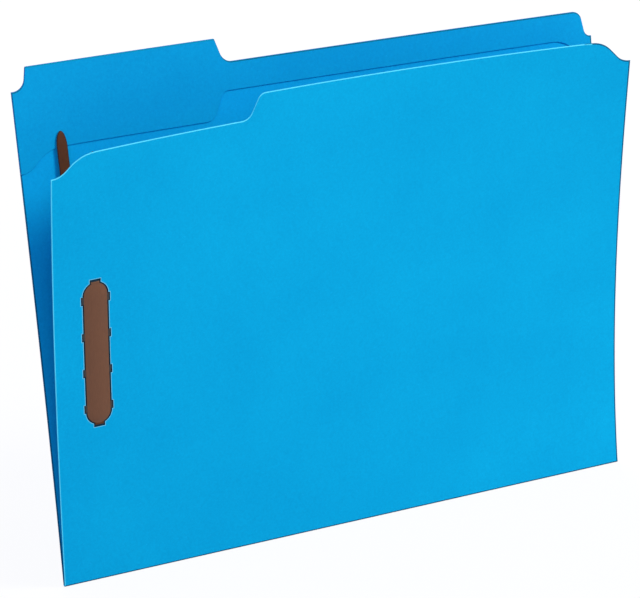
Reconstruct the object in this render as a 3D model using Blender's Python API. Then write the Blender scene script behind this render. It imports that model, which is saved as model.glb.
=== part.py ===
"""Fastener folder: a tabbed card folder standing half open on its bottom fold, with a prong fastener in each leaf.

Metres, +Z up. The fold runs along X, its underside is on z = 0 and its middle is the origin. The front leaf
stands on the -Y side and the back leaf, which carries the tab, on the +Y side. Every piece of a leaf is first
modelled flat, as x across, v up from the crease and w from the middle of the card towards the other leaf, and is
then wrapped onto the leaf's bowed surface, so pieces keep their clearances on the bow.
"""

import math

import bmesh
import bpy
import numpy as np
from mathutils import Matrix, Vector

MM = 0.001

# Card sheet: letter size, folded in two, with the tab at the left end of the back leaf
SHEET_WIDTH = 298.45 * MM
CARD = 0.45 * MM
FOLD_WIDTH = 2.0 * MM
CREASE_GAP = 0.3 * MM

# Back leaf: heights above the crease, and the tab's corners measured from the left edge
TAB_TOP = 241.3 * MM
TAB_HEIGHT = 11.3 * MM
TAB_LEFT_NOTCH = 10.4 * MM
TAB_LEFT = 7.7 * MM
TAB_RIGHT = 100.6 * MM
TAB_LEFT_SPREAD = 1.8 * MM
TAB_RIGHT_SPREAD = 3.7 * MM
TAB_CORNER = 0.6 * MM
TAB_FILLET = 6.0 * MM
BACK_END_DROP = 12.6 * MM
BACK_END_TOP = 5.7 * MM
BACK_END_SPREAD = 2.5 * MM
BACK_END_ROUND = 4.7 * MM
BACK_END_FILLET = 3.6 * MM

# Front leaf: cut lower than the back one, its top edge is low under the tab and steps up to the right of it
FRONT_UNDERCUT = 7.4 * MM
FRONT_STEP = 11.8 * MM
STEP_START = 98.9 * MM
STEP_SPREAD = 5.9 * MM
STEP_FILLET = 6.0 * MM
STEP_ROUND = 4.0 * MM
LEFT_END_DROP = 8.9 * MM
LEFT_END_START = 4.5 * MM
LEFT_END_SPREAD = 10.1 * MM
LEFT_END_ROUND = 19.0 * MM
LEFT_END_FILLET = 10.0 * MM
RIGHT_END_DROP = 10.9 * MM
RIGHT_END_START = 4.3 * MM
RIGHT_END_SPREAD = 10.9 * MM
RIGHT_END_ROUND = 14.0 * MM
RIGHT_END_FILLET = 9.0 * MM

# Second ply along the back leaf's top: its lower edge is stepped like the front leaf's top edge, lower down
PLY_WIDTH = 13.3 * MM
PLY_STEP = 13.1 * MM
PLY_STEP_START = 97.0 * MM
PLY_LEFT_DROP = 9.9 * MM
GLUE_LINE = 0.1 * MM

# Lean of each leaf away from upright: rows at the fold, halfway and the top, each left, middle, right
FRONT_LEAN = np.radians(((5.6, 0.8, -3.0), (9.5, 5.6, 7.6), (16.0, 8.8, 12.0)))
BACK_LEAN = np.radians(((0.4, 4.5, 3.9), (3.1, 4.1, 3.4), (4.5, 4.3, 3.2)))

# Fastener: one sheet-metal base in each leaf, its two prongs, and a compressor with two sliding keepers
FASTENER_FROM_LEFT = 20.8 * MM
FASTENER_HEIGHT = 113.2 * MM
SEAT_GAP = 0.3 * MM
POCKET_WIDTH = 12.5 * MM
POCKET_LENGTH = 69.9 * MM
PLATE_CLEARANCE = 0.2 * MM
PLATE_THICKNESS = 0.4 * MM
PLATE_FLOOR_GAP = 0.1 * MM
METAL_OVERLAP = 0.05 * MM
PRONG_SPACING = 69.85 * MM
PRONG_WIDTH = 4.8 * MM
PRONG_THICKNESS = 0.4 * MM
PRONG_LENGTH = 62.5 * MM
PRONG_TIP_LENGTH = 8.0 * MM
PRONG_TIP_WIDTH = 2.4 * MM
PRONG_SLOT_LENGTH = 2.8 * MM
ROOT_INSET = 2.4 * MM
TOOTH_PITCH = 17.8 * MM
TEETH_PER_SIDE = 4
TOOTH_LENGTH = 3.4 * MM
TOOTH_FOOT = 1.7 * MM
TOOTH_INSET = 1.2 * MM
BAR_WIDTH = 9.5 * MM
BAR_THICKNESS = 0.5 * MM
BAR_OVERHANG = 4.2 * MM
BAR_CORNER = 3.0 * MM
BAR_SLOT = 1.1 * MM
KEEPER_LENGTH = 8.0 * MM
KEEPER_WALL = 0.35 * MM
KEEPER_LIP = 2.2 * MM
KEEPER_FROM_MIDDLE = 17.0 * MM

# Facets
ARC_STEP = math.radians(20)
BEND_PITCH_X = 27.0 * MM
BEND_PITCH_V = 13.0 * MM
CURVE_SAMPLES = 6
SLOPE_PROBE = 0.5 * MM
WELD = 1e-7
FLAT_ANGLE = math.radians(0.2)
CUT_MARGIN = 2.0 * MM

# Colours as they show on screen, from 0 to 1, with roughness and metallic
CARD_BLUE = ((0.03, 0.60, 0.86), 0.75, 0.0)
CARD_BLUE_INSIDE = ((0.03, 0.58, 0.84), 0.75, 0.0)
LACQUER_BROWN = ((0.44, 0.31, 0.23), 0.45, 0.6)
PRONG_BROWN = ((0.33, 0.20, 0.14), 0.45, 0.6)

# Worked out from the sizes above
HALF_WIDTH = SHEET_WIDTH / 2
HALF_CARD = CARD / 2
CREASE_OFFSET = (FOLD_WIDTH - CARD) / 2
SHELF = TAB_TOP - TAB_HEIGHT
TAB_LEFT_FOOT = TAB_TOP - TAB_LEFT_NOTCH
FRONT_TOP = SHELF - FRONT_UNDERCUT
PLY_EDGE = SHELF - PLY_WIDTH
EMBOSS = PLATE_THICKNESS + PLATE_FLOOR_GAP
PAD_TOP = HALF_CARD + EMBOSS
POCKET_HALF = POCKET_WIDTH / 2
PLATE_WIDTH = POCKET_WIDTH - 2 * PLATE_CLEARANCE
PLATE_LENGTH = POCKET_LENGTH - 2 * PLATE_CLEARANCE
PLATE_OUTER = -HALF_CARD
PLATE_INNER = PLATE_OUTER + PLATE_THICKNESS
TOOTH_NEAR = POCKET_HALF + PLATE_CLEARANCE
TOOTH_FAR = TOOTH_NEAR + PLATE_THICKNESS
TOOTH_SEAT = HALF_CARD + SEAT_GAP
KEEPER_BOTTOM = PAD_TOP + SEAT_GAP
BAR_BOTTOM = KEEPER_BOTTOM + KEEPER_WALL + SEAT_GAP
BAR_TOP = BAR_BOTTOM + BAR_THICKNESS
KEEPER_TOP = BAR_TOP + SEAT_GAP + KEEPER_WALL
KEEPER_HALF = BAR_WIDTH / 2 + SEAT_GAP + KEEPER_WALL
PRONG_AXIS = BAR_TOP + 2 * SEAT_GAP + PRONG_THICKNESS / 2
ROOT_TOP = PRONG_AXIS - SEAT_GAP
PLY_BOTTOM = HALF_CARD + GLUE_LINE
PLY_TOP = PLY_BOTTOM + CARD


class Leaf:
    """One leaf's bowed surface, and the empty on its crease that carries the leaf's pieces."""

    def __init__(self, name, side, lean):
        self.name = name
        self.side = side
        self.rows = lean
        self.crease = bpy.data.objects.new(f"{name}_crease", None)
        self.crease.location = (0, side * CREASE_OFFSET, CARD)
        PARTS.objects.link(self.crease)

    def lean(self, x, v):
        """Lean away from upright at each point, a parabola across the leaf and a parabola up it."""
        rows = [parabola(row, x / HALF_WIDTH) for row in self.rows]
        return parabola(rows, 2 * v / TAB_TOP - 1)

    def surface(self, x, v):
        """Points of the middle of the card: the lean followed up from the crease, y = ∫ sin, z = ∫ cos."""
        nodes, weights = np.polynomial.legendre.leggauss(CURVE_SAMPLES)
        path = self.lean(x[:, None], v[:, None] * (nodes + 1) / 2)
        run = v * (np.sin(path) @ weights) / 2
        rise = v * (np.cos(path) @ weights) / 2
        return np.stack([x, self.side * (CREASE_OFFSET + run), CARD + rise], axis=1)

    def directions(self, x, v):
        """Unit vectors across the leaf, up it and inwards at each point."""
        across = self.surface(x + SLOPE_PROBE, v) - self.surface(x - SLOPE_PROBE, v)
        up = self.surface(x, v + SLOPE_PROBE) - self.surface(x, v - SLOPE_PROBE)
        inward = self.side * np.cross(across, up)
        return [vector / np.linalg.norm(vector, axis=1, keepdims=True) for vector in (across, up, inward)]

    def wrap(self, flat):
        """Flat points (x, v, w) carried onto the bowed leaf."""
        x, v, w = flat.T
        return self.surface(x, v) + w[:, None] * self.directions(x, v)[2]

    def frame(self, x, v, w):
        """The place and turn of a piece at one flat point: its X runs across the leaf and its Y up it."""
        spot = np.array([[x, v, w]])
        across, up, _ = (Vector(vector[0]) for vector in self.directions(spot[:, 0], spot[:, 1]))
        square_up = (up - across * up.dot(across)).normalized()
        turn = Matrix((across, square_up, across.cross(square_up))).transposed()
        return Matrix.Translation(self.wrap(spot)[0]) @ turn.to_4x4()


def parabola(values, share):
    """The parabola through three values at -1, 0 and 1."""
    low, middle, high = values
    return middle + (high - low) / 2 * share + ((high + low) / 2 - middle) * share**2


def new_collection(name):
    collection = bpy.data.collections.new(name)
    bpy.context.scene.collection.children.link(collection)
    return collection


def material(name, look):
    colour, roughness, metallic = look
    made = bpy.data.materials.new(name)
    made.use_nodes = True
    shader = made.node_tree.nodes["Principled BSDF"]
    shader.inputs["Base Color"].default_value = (*(channel**2.2 for channel in colour), 1)
    shader.inputs["Roughness"].default_value = roughness
    shader.inputs["Metallic"].default_value = metallic
    return made


def rounded(corners):
    """A closed outline through corners (a, b, radius), each rounded by an arc of its radius."""
    points = []
    for i, (a, b, radius) in enumerate(corners):
        here = Vector((a, b))
        before = (Vector(corners[i - 1][:2]) - here).normalized()
        after = (Vector(corners[(i + 1) % len(corners)][:2]) - here).normalized()
        half = before.angle(after) / 2
        centre = here + (before + after).normalized() * radius / math.sin(half)
        start, end = (here + way * radius / math.tan(half) - centre for way in (before, after))
        first = math.atan2(start.y, start.x)
        swept = math.remainder(math.atan2(end.y, end.x) - first, math.tau)
        steps = math.ceil(abs(swept) / ARC_STEP) if radius else 0
        for k in range(steps + 1):
            angle = first + swept * k / max(steps, 1)
            point = centre + Vector((math.cos(angle), math.sin(angle))) * radius
            if not points or (point - points[-1]).length > WELD:
                points.append(point)
    return points


def box_outline(a0, b0, a1, b1, radius=0.0):
    return rounded([(a0, b0, radius), (a1, b0, radius), (a1, b1, radius), (a0, b1, radius)])


def prism(loops, low, high, order=(0, 1, 2)):
    """A closed flat mesh: an outline with its holes, carried from low to high. order gives the x, v, w columns."""
    curve = bpy.data.curves.new("outline", "CURVE")
    curve.dimensions = "2D"
    curve.fill_mode = "BOTH"
    curve.extrude = (high - low) / 2
    for loop in loops:
        spline = curve.splines.new("POLY")
        spline.points.add(len(loop) - 1)
        spline.use_cyclic_u = True
        for point, (a, b) in zip(spline.points, loop):
            point.co = (a, b, 0, 1)
    guide = bpy.data.objects.new("outline", curve)
    CUTTERS.objects.link(guide)
    mesh = evaluated(guide)
    bpy.data.objects.remove(guide)
    points = coordinates(mesh) + np.array([0, 0, (low + high) / 2])
    set_coordinates(mesh, points[:, order])
    tidy(mesh)
    return mesh


def evaluated(obj):
    return bpy.data.meshes.new_from_object(obj.evaluated_get(bpy.context.evaluated_depsgraph_get()))


def coordinates(mesh):
    flat = np.empty(3 * len(mesh.vertices))
    mesh.vertices.foreach_get("co", flat)
    return flat.reshape(-1, 3)


def set_coordinates(mesh, points):
    mesh.vertices.foreach_set("co", points.ravel())
    mesh.update()


def tidy(mesh):
    """Weld the corners, merge faces that lie in one plane and turn every face outwards."""
    bm = bmesh.new()
    bm.from_mesh(mesh)
    bmesh.ops.remove_doubles(bm, verts=bm.verts, dist=WELD)
    bmesh.ops.dissolve_limit(bm, angle_limit=FLAT_ANGLE, verts=bm.verts, edges=bm.edges)
    bmesh.ops.recalc_face_normals(bm, faces=bm.faces)
    bm.to_mesh(mesh)
    bm.free()


def combine(base, tools, operation):
    """The base mesh joined with, or cut by, tool meshes that stay clear of each other."""
    joined = bmesh.new()
    for tool in tools:
        joined.from_mesh(tool)
    tool_mesh = bpy.data.meshes.new("tool")
    joined.to_mesh(tool_mesh)
    joined.free()
    cutter = bpy.data.objects.new("cutter", tool_mesh)
    target = bpy.data.objects.new("target", base)
    for obj in (cutter, target):
        CUTTERS.objects.link(obj)
    modifier = target.modifiers.new(operation, "BOOLEAN")
    modifier.operation = operation
    modifier.object = cutter
    result = evaluated(target)
    for obj in (cutter, target):
        bpy.data.objects.remove(obj)
    tidy(result)
    return result


def crease_lines(mesh):
    """Cut the flat mesh along even lines across and up the leaf, so that it can follow the bow."""
    bm = bmesh.new()
    bm.from_mesh(mesh)
    for axis, pitch in ((0, BEND_PITCH_X), (1, BEND_PITCH_V)):
        along = [vertex.co[axis] for vertex in bm.verts]
        low, high = min(along), max(along)
        if high - low < pitch:
            continue
        normal = Vector((axis == 0, axis == 1, 0))
        for k in range(math.ceil(low / pitch), math.floor(high / pitch) + 1):
            everything = bm.verts[:] + bm.edges[:] + bm.faces[:]
            bmesh.ops.bisect_plane(bm, geom=everything, dist=WELD, plane_co=normal * k * pitch, plane_no=normal)
    bm.to_mesh(mesh)
    bm.free()


def place(name, mesh, look, leaf, joint_point=None):
    """Wrap a flat mesh onto its leaf, with its origin at a flat point on its joint's axis or on the crease."""
    crease_lines(mesh)
    frame = leaf.frame(*joint_point) if joint_point else Matrix.Translation(leaf.crease.location)
    to_local = np.array(frame.inverted())
    points = leaf.wrap(coordinates(mesh))
    set_coordinates(mesh, points @ to_local[:3, :3].T + to_local[:3, 3])
    bm = bmesh.new()
    bm.from_mesh(mesh)
    bmesh.ops.recalc_face_normals(bm, faces=bm.faces)
    bm.to_mesh(mesh)
    bm.free()
    mesh.name = name
    mesh.materials.append(look)
    piece = bpy.data.objects.new(name, mesh)
    PARTS.objects.link(piece)
    piece.parent = leaf.crease
    piece.matrix_parent_inverse = Matrix.Translation(leaf.crease.location).inverted()
    piece.matrix_world = frame
    return piece


def fastener_spot(along=0.0, height=0.0):
    """The flat point at a distance up from the fastener's middle and a height over the middle of the card."""
    return FASTENER_FROM_LEFT - HALF_WIDTH, FASTENER_HEIGHT + along, height


def at_fastener(mesh):
    set_coordinates(mesh, coordinates(mesh) + np.array(fastener_spot()))
    return mesh


def racetrack(width, length):
    return box_outline(-width / 2, -length / 2, width / 2, length / 2, width / 2 - WELD)


def teeth():
    """Each tooth's place along the fastener and its side, -1 or 1."""
    first = -(TEETH_PER_SIDE - 1) / 2
    return [((first + k) * TOOTH_PITCH, side) for k in range(TEETH_PER_SIDE) for side in (-1, 1)]


def stepped_edge(high, step_height, step_start, left_drop):
    """Corners from right to left of an edge that runs high, steps down left of step_start and drops at both ends."""
    low = high - step_height
    right_low = high - RIGHT_END_DROP
    left_low = low - left_drop
    right_start = HALF_WIDTH - RIGHT_END_START
    left_start = LEFT_END_START - HALF_WIDTH
    step = step_start - HALF_WIDTH
    return [
        (HALF_WIDTH, right_low, 0),
        (right_start, right_low, RIGHT_END_FILLET),
        (right_start - RIGHT_END_SPREAD, high, RIGHT_END_ROUND),
        (step + STEP_SPREAD, high, STEP_ROUND),
        (step, low, STEP_FILLET),
        (left_start + LEFT_END_SPREAD, low, LEFT_END_ROUND),
        (left_start, left_low, LEFT_END_FILLET),
        (-HALF_WIDTH, left_low, 0),
    ]


def back_top_edge():
    """Corners of the back leaf's top edge from right to left, with the tab."""
    end_low = SHELF - BACK_END_DROP
    end_top = HALF_WIDTH - BACK_END_TOP
    tab_left = TAB_LEFT - HALF_WIDTH
    tab_right = TAB_RIGHT - HALF_WIDTH
    return [
        (HALF_WIDTH, end_low, 0),
        (end_top + BACK_END_SPREAD, end_low, BACK_END_FILLET),
        (end_top, SHELF, BACK_END_ROUND),
        (tab_right + TAB_RIGHT_SPREAD, SHELF, TAB_FILLET),
        (tab_right, TAB_TOP, TAB_CORNER),
        (tab_left, TAB_TOP, TAB_CORNER),
        (tab_left - TAB_LEFT_SPREAD, TAB_LEFT_FOOT, TAB_FILLET),
        (-HALF_WIDTH, TAB_LEFT_FOOT, 0),
    ]


def leaf_sheet(edge):
    """A flat leaf with the fastener's embossed pocket, its tooth slits and its prong slots."""
    outline = rounded([(-HALF_WIDTH, CREASE_GAP, 0), (HALF_WIDTH, CREASE_GAP, 0), *edge])
    sheet = prism([outline], -HALF_CARD, HALF_CARD)
    pad = prism([racetrack(POCKET_WIDTH + 2 * CARD, POCKET_LENGTH + 2 * CARD)], 0, PAD_TOP)
    pocket = prism([racetrack(POCKET_WIDTH, POCKET_LENGTH)], PLATE_OUTER - CUT_MARGIN, PLATE_OUTER + EMBOSS)
    through = (PLATE_OUTER - CUT_MARGIN, PAD_TOP + CUT_MARGIN)
    cuts = []
    for along, side in teeth():
        near, far = TOOTH_NEAR - SEAT_GAP, TOOTH_FAR + SEAT_GAP
        half = TOOTH_LENGTH / 2 + SEAT_GAP
        cuts.append(prism([box_outline(side * near, along - half, side * far, along + half)], *through))
    for end in (-1, 1):
        half = PRONG_WIDTH / 2 + SEAT_GAP
        middle = end * PRONG_SPACING / 2
        reach = PRONG_SLOT_LENGTH / 2
        cuts.append(prism([box_outline(-half, middle - reach, half, middle + reach)], *through))
    sheet = combine(sheet, [at_fastener(pad)], "UNION")
    sheet = combine(sheet, [at_fastener(pocket)], "DIFFERENCE")
    return combine(sheet, [at_fastener(cut) for cut in cuts], "DIFFERENCE")


def base_plate():
    """The base in its pocket, with clinched teeth along its sides and the roots of its two prongs at its ends."""
    plate = prism([racetrack(PLATE_WIDTH, PLATE_LENGTH)], PLATE_OUTER, PLATE_INNER)
    low, high = PLATE_OUTER + METAL_OVERLAP, PLATE_INNER - METAL_OVERLAP
    limbs = []
    for along, side in teeth():
        corners = [
            (TOOTH_NEAR - TOOTH_INSET, low, 0),
            (TOOTH_FAR, low, 0),
            (TOOTH_FAR, TOOTH_SEAT, 0),
            (TOOTH_FAR + TOOTH_FOOT, TOOTH_SEAT, 0),
            (TOOTH_FAR + TOOTH_FOOT, TOOTH_SEAT + PLATE_THICKNESS, 0),
            (TOOTH_NEAR, TOOTH_SEAT + PLATE_THICKNESS, 0),
            (TOOTH_NEAR, high, 0),
            (TOOTH_NEAR - TOOTH_INSET, high, 0),
        ]
        shape = rounded([(side * a, b, radius) for a, b, radius in corners])
        limbs.append(prism([shape], along - TOOTH_LENGTH / 2, along + TOOTH_LENGTH / 2, (0, 2, 1)))
    for end in (-1, 1):
        outer = PRONG_SPACING / 2 + PRONG_THICKNESS / 2
        inner = outer - PRONG_THICKNESS
        corners = [
            (outer - ROOT_INSET, low, 0),
            (outer, low, 0),
            (outer, ROOT_TOP, 0),
            (inner, ROOT_TOP, 0),
            (inner, high, 0),
            (outer - ROOT_INSET, high, 0),
        ]
        shape = rounded([(end * a, b, radius) for a, b, radius in corners])
        limbs.append(prism([shape], -PRONG_WIDTH / 2, PRONG_WIDTH / 2, (2, 0, 1)))
    return at_fastener(combine(plate, limbs, "UNION"))


def compressor():
    """A flat bar with a slot for each prong."""
    half_length = PRONG_SPACING / 2 + BAR_OVERHANG
    half_slot = PRONG_WIDTH / 2 + SEAT_GAP
    loops = [box_outline(-BAR_WIDTH / 2, -half_length, BAR_WIDTH / 2, half_length, BAR_CORNER)]
    for end in (-1, 1):
        middle = end * PRONG_SPACING / 2
        loops.append(box_outline(-half_slot, middle - BAR_SLOT / 2, half_slot, middle + BAR_SLOT / 2))
    return at_fastener(prism(loops, BAR_BOTTOM, BAR_TOP))


def keeper(end):
    """A sleeve bent round the bar, open between its two lips under the bar."""
    wall_in = KEEPER_HALF - KEEPER_WALL
    lip_in = KEEPER_HALF - KEEPER_LIP
    lip_top = KEEPER_BOTTOM + KEEPER_WALL
    roof = KEEPER_TOP - KEEPER_WALL
    half = [
        (KEEPER_HALF, KEEPER_TOP, 0),
        (KEEPER_HALF, KEEPER_BOTTOM, 0),
        (lip_in, KEEPER_BOTTOM, 0),
        (lip_in, lip_top, 0),
        (wall_in, lip_top, 0),
        (wall_in, roof, 0),
    ]
    other_half = [(-a, b, radius) for a, b, radius in reversed(half)]
    middle = end * KEEPER_FROM_MIDDLE
    low, high = middle - KEEPER_LENGTH / 2, middle + KEEPER_LENGTH / 2
    return at_fastener(prism([rounded(half + other_half)], low, high, (0, 2, 1)))


def prong(end, tip_seat):
    """A blade bent outwards from its root: it starts at the bend over the bar and slopes down to its seat."""
    start = SEAT_GAP
    shoulder = PRONG_LENGTH - PRONG_TIP_LENGTH
    corners = [
        (-PRONG_WIDTH / 2, start, 0),
        (PRONG_WIDTH / 2, start, 0),
        (PRONG_WIDTH / 2, shoulder, PRONG_TIP_LENGTH),
        (PRONG_TIP_WIDTH / 2, PRONG_LENGTH, PRONG_TIP_WIDTH / 3),
        (-PRONG_TIP_WIDTH / 2, PRONG_LENGTH, PRONG_TIP_WIDTH / 3),
        (-PRONG_WIDTH / 2, shoulder, PRONG_TIP_LENGTH),
    ]
    shape = rounded([(a, end * b, radius) for a, b, radius in corners])
    blade = prism([shape], -PRONG_THICKNESS / 2, PRONG_THICKNESS / 2)
    points = coordinates(blade)
    drop = PRONG_AXIS - tip_seat - SEAT_GAP - PRONG_THICKNESS / 2
    points[:, 2] -= drop * np.abs(points[:, 1]) / PRONG_LENGTH
    set_coordinates(blade, points + np.array(fastener_spot(end * PRONG_SPACING / 2, PRONG_AXIS)))
    return blade


def make_fastener(leaf, upper_tip_seat):
    """The six pieces of one leaf's fastener. The upper prong's tip lies on upper_tip_seat, the lower one's on card."""
    brown = material(f"{leaf.name}_fastener_brown", LACQUER_BROWN)
    dark = material(f"{leaf.name}_prong_brown", PRONG_BROWN)
    place(f"{leaf.name}_base_plate", base_plate(), brown, leaf)
    place(f"{leaf.name}_compressor", compressor(), brown, leaf)
    for word, end, tip_seat in (("upper", 1, upper_tip_seat), ("lower", -1, HALF_CARD)):
        bend = fastener_spot(end * PRONG_SPACING / 2, PRONG_AXIS)
        rail = fastener_spot(end * KEEPER_FROM_MIDDLE, BAR_TOP)
        place(f"{leaf.name}_{word}_prong", prong(end, tip_seat), dark, leaf, bend)
        place(f"{leaf.name}_{word}_keeper", keeper(end), brown, leaf, rail)


def make_front(leaf):
    edge = stepped_edge(FRONT_TOP, FRONT_STEP, STEP_START, LEFT_END_DROP)
    place("front_leaf", leaf_sheet(edge), material("card_outside", CARD_BLUE), leaf)
    make_fastener(leaf, HALF_CARD)


def make_back(leaf):
    place("back_leaf", leaf_sheet(back_top_edge()), material("card_back", CARD_BLUE_INSIDE), leaf)
    lower_edge = stepped_edge(PLY_EDGE, PLY_STEP, PLY_STEP_START, PLY_LEFT_DROP)
    ply = prism([rounded(lower_edge[::-1] + back_top_edge())], PLY_BOTTOM, PLY_TOP)
    place("tab_reinforcement", ply, material("card_ply", CARD_BLUE_INSIDE), leaf)
    make_fastener(leaf, PLY_TOP)


def make_fold():
    """The narrow strip between the two creases, flat underneath."""
    bpy.ops.mesh.primitive_cube_add(size=1, location=(0, 0, CARD / 2))
    strip = bpy.context.object
    strip.name = "bottom_fold"
    strip.data.transform(Matrix.Diagonal((SHEET_WIDTH, FOLD_WIDTH, CARD, 1)))
    strip.data.materials.append(material("card_fold", CARD_BLUE))
    for collection in strip.users_collection:
        collection.objects.unlink(strip)
    PARTS.objects.link(strip)


for old in list(bpy.data.objects):
    bpy.data.objects.remove(old)
PARTS = new_collection("fastener_folder")
CUTTERS = new_collection("cutters")
make_fold()
make_front(Leaf("front", -1, FRONT_LEAN))
make_back(Leaf("back", 1, BACK_LEAN))
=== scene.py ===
# %% [markdown]
# # A card folder with prong fasteners
# The object is a letter-size folder of blue card. It stands half open on its bottom fold, so both leaves
# are bowed, and a brown two-prong fastener is set in each leaf near the left edge. The imported model is the
# frame: it gives the sizes and the joints, and every piece made here sits where its solid sits. The leaves,
# the ply, the plates, the bars and the keepers are attached to the same bodies.

import bmesh
import bpy
import numpy as np
from mathutils import Matrix, Vector


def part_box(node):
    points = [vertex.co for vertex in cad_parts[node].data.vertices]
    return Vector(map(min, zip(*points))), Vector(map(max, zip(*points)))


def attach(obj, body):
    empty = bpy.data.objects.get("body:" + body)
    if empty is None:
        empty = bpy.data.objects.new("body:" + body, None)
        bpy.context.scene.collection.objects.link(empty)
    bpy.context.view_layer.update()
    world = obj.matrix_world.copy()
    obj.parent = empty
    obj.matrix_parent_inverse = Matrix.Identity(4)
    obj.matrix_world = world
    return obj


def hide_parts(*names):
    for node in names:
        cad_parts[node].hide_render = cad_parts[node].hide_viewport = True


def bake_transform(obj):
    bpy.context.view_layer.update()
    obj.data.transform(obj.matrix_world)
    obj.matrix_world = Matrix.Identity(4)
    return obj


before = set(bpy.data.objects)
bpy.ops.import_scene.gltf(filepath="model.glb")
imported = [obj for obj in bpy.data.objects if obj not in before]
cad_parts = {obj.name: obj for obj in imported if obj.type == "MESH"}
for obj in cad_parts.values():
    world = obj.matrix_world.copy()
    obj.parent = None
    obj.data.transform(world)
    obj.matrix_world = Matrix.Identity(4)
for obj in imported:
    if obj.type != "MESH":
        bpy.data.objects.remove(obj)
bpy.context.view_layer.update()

# %% [markdown]
# ## Sizes of the sheet
# The folder is one sheet of card, creased twice along the bottom. The width of the sheet, the thickness of
# the card and the width of the fold are read from the frame's fold strip. The heights that follow are the
# folder's own, from the crease up, because a bowed leaf's box doesn't show them.

# %% Sheet sizes
MM = 0.001
fold_low, fold_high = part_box("bottom_fold")
SHEET_WIDTH = fold_high.x - fold_low.x
FOLD_WIDTH = fold_high.y - fold_low.y
CARD = fold_high.z - fold_low.z
HALF_WIDTH = SHEET_WIDTH / 2
HALF_CARD = CARD / 2
CREASE_OFFSET = (FOLD_WIDTH - CARD) / 2
CREASE_GAP = 0.3 * MM
TAB_TOP = 241.3 * MM
SHELF = 230.0 * MM
FRONT_TOP = 222.6 * MM
PLY_EDGE = 216.7 * MM
print(f"sheet {SHEET_WIDTH / MM:.2f} mm wide, card {CARD / MM:.2f} mm, fold {FOLD_WIDTH / MM:.2f} mm")

# %% [markdown]
# ## The bow of a leaf
# Card that is pulled open at one side doesn't stay flat: each leaf leans a little differently from left to
# right and from fold to top. A lattice or a cloth simulation could bend a flat sheet, but here the bow is
# written down: the lean is a parabola across the leaf and a parabola up it. Following the lean up from the
# crease gives a point of the card, so every flat piece can be carried onto the same bow and keeps its
# clearances there.

# %% Leaf surface
# Lean in degrees at the left, the middle and the right: at the fold, half way up, and at the tab's top.
LEAN = {
    "front": np.radians([[5.6, 0.8, -3.0], [9.5, 5.6, 7.6], [16.0, 8.8, 12.0]]),
    "back": np.radians([[0.4, 4.5, 3.9], [3.1, 4.1, 3.4], [4.5, 4.3, 3.2]]),
}
SIDE = {"front": -1, "back": 1}
# Six chosen stations and their weights give the sum along a smooth curve almost exactly.
STATIONS, WEIGHTS = np.polynomial.legendre.leggauss(6)
PROBE = 0.5 * MM


def parabola(values, share):
    """The parabola through three values at -1, 0 and 1: middle + slope * share + curve * share squared."""
    low, middle, high = values
    return middle + (high - low) / 2 * share + ((high + low) / 2 - middle) * share**2


def card_middle(leaf, x, v):
    """The card's middle at x across and v up: y is the sum of sin(lean), z the sum of cos(lean), to v."""
    across = x[..., None] / HALF_WIDTH
    rows = [parabola(row, across) for row in LEAN[leaf]]
    lean = parabola(rows, v[..., None] * (STATIONS + 1) / TAB_TOP - 1)
    run = v * (np.sin(lean) @ WEIGHTS) / 2
    rise = v * (np.cos(lean) @ WEIGHTS) / 2
    return np.stack([x, SIDE[leaf] * (CREASE_OFFSET + run), CARD + rise], axis=-1)


def unit(vectors):
    """Each vector divided by its length."""
    return vectors / np.linalg.norm(vectors, axis=-1, keepdims=True)


def on_leaf(leaf, flat):
    """Flat points (x, v, w) on the bow: the card's middle plus w along the normal to the other leaf."""
    x, v, w = np.moveaxis(np.asarray(flat, float), -1, 0)
    across = card_middle(leaf, x + PROBE, v) - card_middle(leaf, x - PROBE, v)
    up = card_middle(leaf, x, v + PROBE) - card_middle(leaf, x, v - PROBE)
    inward = unit(SIDE[leaf] * np.cross(across, up))
    return card_middle(leaf, x, v) + w[..., None] * inward


for leaf_name in LEAN:
    tops = on_leaf(leaf_name, [[-HALF_WIDTH, SHELF, 0], [0, SHELF, 0], [HALF_WIDTH, SHELF, 0]])
    print(leaf_name, "leaf at shelf height, y in mm:", np.round(tops[:, 1] / MM, 1))

# %% [markdown]
# ## From points to meshes
# All the pieces are made in the same two ways. A sheet is a grid of points in two layers, closed by a wall
# round its rim. A strip of metal is a rectangle with rounded corners that is carried along a path. Both
# stay flat until they are complete, because cutting a flat piece is exact, and only then are they carried
# onto the bow. Each face keeps a mark, the number of the material that it takes.

# %% Grids to meshes
WELD = 1e-7


def quads(index):
    """The four corners of every cell in a grid of point numbers."""
    return np.stack([index[:-1, :-1], index[1:, :-1], index[1:, 1:], index[:-1, 1:]], -1).reshape(-1, 4)


def turn_outwards(mesh):
    """Welds corners that meet and turns every face of the closed mesh outwards."""
    bm = bmesh.new()
    bm.from_mesh(mesh)
    bmesh.ops.remove_doubles(bm, verts=bm.verts, dist=WELD)
    bmesh.ops.recalc_face_normals(bm, faces=bm.faces)
    bm.to_mesh(mesh)
    bm.free()


def mesh_of(points, faces, marks):
    """A closed mesh with its faces turned outwards, each with its mark."""
    mesh = bpy.data.meshes.new("piece")
    mesh.from_pydata(np.reshape(points, (-1, 3)).tolist(), [], [list(map(int, face)) for face in faces])
    mesh.polygons.foreach_set("material_index", np.asarray(marks, np.int32))
    turn_outwards(mesh)
    return mesh


print("a grid of 3 by 4 points has", len(quads(np.arange(12).reshape(3, 4))), "faces")

# %% Closed sheets
# A wall faces right where its normal's x is over this.
RIGHTWARD = 0.02


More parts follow.
